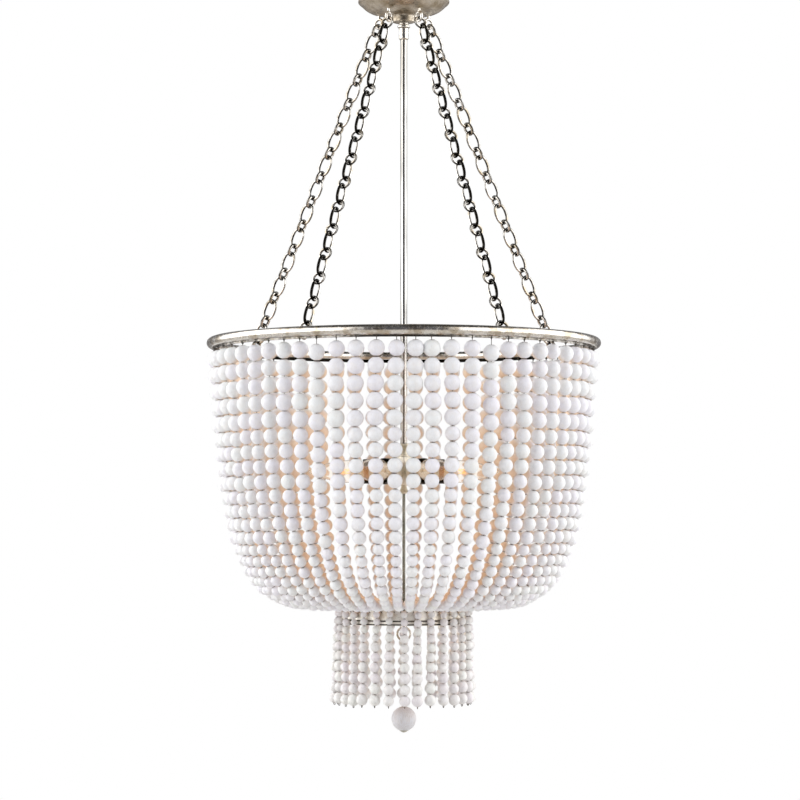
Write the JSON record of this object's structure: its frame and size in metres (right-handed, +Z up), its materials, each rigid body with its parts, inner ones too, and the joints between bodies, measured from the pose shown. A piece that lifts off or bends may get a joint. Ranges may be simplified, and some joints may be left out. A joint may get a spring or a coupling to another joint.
{
  "type": "beaded chandelier",
  "caption": "Basket chandelier of graded beads hung from a metal hoop on chains, with a lamp cluster inside, a beaded tassel ring below and a ball finial.",
  "frame": {"origin": "centre of the canopy top edge, in the ceiling plane that holds the fixture up", "axes": "+Z up towards the ceiling, +Y away from the front seen in the picture, +X to its right"},
  "size_m": [0.6096, 0.6096, 1.1424],
  "materials": {
    "silver_leaf": "silver leaf over warm clay, burnished and toned",
    "plated_steel": "zinc plated",
    "phenolic": "moulded, satin",
    "bulb_glass": "clear, lit warm",
    "bead_wood": "white satin lacquer"
  },
  "bodies": {
    "root": {"ceiling_crossbar": "plated_steel", "canopy": "silver_leaf", "canopy_eye_1": "silver_leaf", "canopy_eye_2": "silver_leaf", "canopy_eye_3": "silver_leaf", "canopy_eye_4": "silver_leaf", "crossbar_nipple": "plated_steel", "canopy_nut": "silver_leaf", "stem_sleeve": "silver_leaf", "stem": "silver_leaf", "chain_1": "silver_leaf", "chain_2": "silver_leaf", "chain_3": "silver_leaf", "chain_4": "silver_leaf", "top_hoop": "silver_leaf", "basket_strands_01": "bead_wood", "basket_strands_02": "bead_wood", "basket_strands_03": "bead_wood", "basket_strands_04": "bead_wood", "basket_strands_05": "bead_wood", "basket_strands_06": "bead_wood", "basket_strands_07": "bead_wood", "basket_strands_08": "bead_wood", "basket_strands_09": "bead_wood", "basket_strands_10": "bead_wood", "lamp_hub": "silver_leaf", "hub_top_cap": "silver_leaf", "hub_bottom_cap": "silver_leaf", "socket_1": "phenolic", "socket_2": "phenolic", "socket_3": "phenolic", "socket_4": "phenolic", "socket_5": "phenolic", "socket_6": "phenolic", "lower_rod": "silver_leaf", "lower_hoop": "silver_leaf", "rod_loop": "silver_leaf"},
    "lamp_1": {"bulb_1": "bulb_glass"},
    "lamp_2": {"bulb_2": "bulb_glass"},
    "lamp_3": {"bulb_3": "bulb_glass"},
    "lamp_4": {"bulb_4": "bulb_glass"},
    "lamp_5": {"bulb_5": "bulb_glass"},
    "lamp_6": {"bulb_6": "bulb_glass"},
    "tassel_01": {"tassel_pair_01": "bead_wood"},
    "tassel_02": {"tassel_pair_02": "bead_wood"},
    "tassel_03": {"tassel_pair_03": "bead_wood"},
    "tassel_04": {"tassel_pair_04": "bead_wood"},
    "tassel_05": {"tassel_pair_05": "bead_wood"},
    "tassel_06": {"tassel_pair_06": "bead_wood"},
    "tassel_07": {"tassel_pair_07": "bead_wood"},
    "tassel_08": {"tassel_pair_08": "bead_wood"},
    "tassel_09": {"tassel_pair_09": "bead_wood"},
    "tassel_10": {"tassel_pair_10": "bead_wood"},
    "tassel_11": {"tassel_pair_11": "bead_wood"},
    "tassel_12": {"tassel_pair_12": "bead_wood"},
    "tassel_13": {"tassel_pair_13": "bead_wood"},
    "tassel_14": {"tassel_pair_14": "bead_wood"},
    "tassel_15": {"tassel_pair_15": "bead_wood"},
    "finial": {"finial_pin": "silver_leaf", "finial_ball": "bead_wood"}
  },
  "joints": [
    {"name": "bulb_1_draw", "type": "slide", "parent": "root", "child": "lamp_1", "axis": [1, 0, 0], "range_m": [0, 0.03]},
    {"name": "bulb_2_draw", "type": "slide", "parent": "root", "child": "lamp_2", "axis": [0.5, 0.866, 0], "range_m": [0, 0.03]},
    {"name": "bulb_3_draw", "type": "slide", "parent": "root", "child": "lamp_3", "axis": [-0.5, 0.866, 0], "range_m": [0, 0.03]},
    {"name": "bulb_4_draw", "type": "slide", "parent": "root", "child": "lamp_4", "axis": [-1, 0, 0], "range_m": [0, 0.03]},
    {"name": "bulb_5_draw", "type": "slide", "parent": "root", "child": "lamp_5", "axis": [-0.5, -0.866, 0], "range_m": [0, 0.03]},
    {"name": "bulb_6_draw", "type": "slide", "parent": "root", "child": "lamp_6", "axis": [0.5, -0.866, 0], "range_m": [0, 0.03]},
    {"name": "tassel_01_swing", "type": "hinge", "parent": "root", "child": "tassel_01", "pos_m": [0.00982, -0.09347, -0.9516], "axis": [-0.9945, -0.1045, 0], "range_deg": [0, 28]},
    {"name": "tassel_02_swing", "type": "hinge", "parent": "root", "child": "tassel_02", "pos_m": [0.04699, -0.08139, -0.9516], "axis": [-0.866, -0.5, 0], "range_deg": [0, 28]},
    {"name": "tassel_03_swing", "type": "hinge", "parent": "root", "child": "tassel_03", "pos_m": [0.07603, -0.05524, -0.9516], "axis": [-0.5878, -0.809, 0], "range_deg": [0, 28]},
    {"name": "tassel_04_swing", "type": "hinge", "parent": "root", "child": "tassel_04", "pos_m": [0.09193, -0.01954, -0.9516], "axis": [-0.2079, -0.9781, 0], "range_deg": [0, 28]},
    {"name": "tassel_05_swing", "type": "hinge", "parent": "root", "child": "tassel_05", "pos_m": [0.09193, 0.01954, -0.9516], "axis": [0.2079, -0.9781, 0], "range_deg": [0, 28]},
    {"name": "tassel_06_swing", "type": "hinge", "parent": "root", "child": "tassel_06", "pos_m": [0.07603, 0.05524, -0.9516], "axis": [0.5878, -0.809, 0], "range_deg": [0, 28]},
    {"name": "tassel_07_swing", "type": "hinge", "parent": "root", "child": "tassel_07", "pos_m": [0.04699, 0.08139, -0.9516], "axis": [0.866, -0.5, 0], "range_deg": [0, 28]},
    {"name": "tassel_08_swing", "type": "hinge", "parent": "root", "child": "tassel_08", "pos_m": [0.00982, 0.09347, -0.9516], "axis": [0.9945, -0.1045, 0], "range_deg": [0, 28]},
    {"name": "tassel_09_swing", "type": "hinge", "parent": "root", "child": "tassel_09", "pos_m": [-0.02904, 0.08938, -0.9516], "axis": [0.9511, 0.309, 0], "range_deg": [0, 28]},
    {"name": "tassel_10_swing", "type": "hinge", "parent": "root", "child": "tassel_10", "pos_m": [-0.06289, 0.06984, -0.9516], "axis": [0.7431, 0.6691, 0], "range_deg": [0, 28]},
    {"name": "tassel_11_swing", "type": "hinge", "parent": "root", "child": "tassel_11", "pos_m": [-0.08586, 0.03823, -0.9516], "axis": [0.4067, 0.9135, 0], "range_deg": [0, 28]},
    {"name": "tassel_12_swing", "type": "hinge", "parent": "root", "child": "tassel_12", "pos_m": [-0.09398, 0, -0.9516], "axis": [0, 1, 0], "range_deg": [0, 28]},
    {"name": "tassel_13_swing", "type": "hinge", "parent": "root", "child": "tassel_13", "pos_m": [-0.08586, -0.03823, -0.9516], "axis": [-0.4067, 0.9135, 0], "range_deg": [0, 28]},
    {"name": "tassel_14_swing", "type": "hinge", "parent": "root", "child": "tassel_14", "pos_m": [-0.06289, -0.06984, -0.9516], "axis": [-0.7431, 0.6691, 0], "range_deg": [0, 28]},
    {"name": "tassel_15_swing", "type": "hinge", "parent": "root", "child": "tassel_15", "pos_m": [-0.02904, -0.08938, -0.9516], "axis": [-0.9511, 0.309, 0], "range_deg": [0, 28]},
    {"name": "finial_swing", "type": "hinge", "parent": "root", "child": "finial", "pos_m": [0, 0, -1.0013], "axis": [1, 0, 0], "range_deg": [-30, 30]}
  ]
}
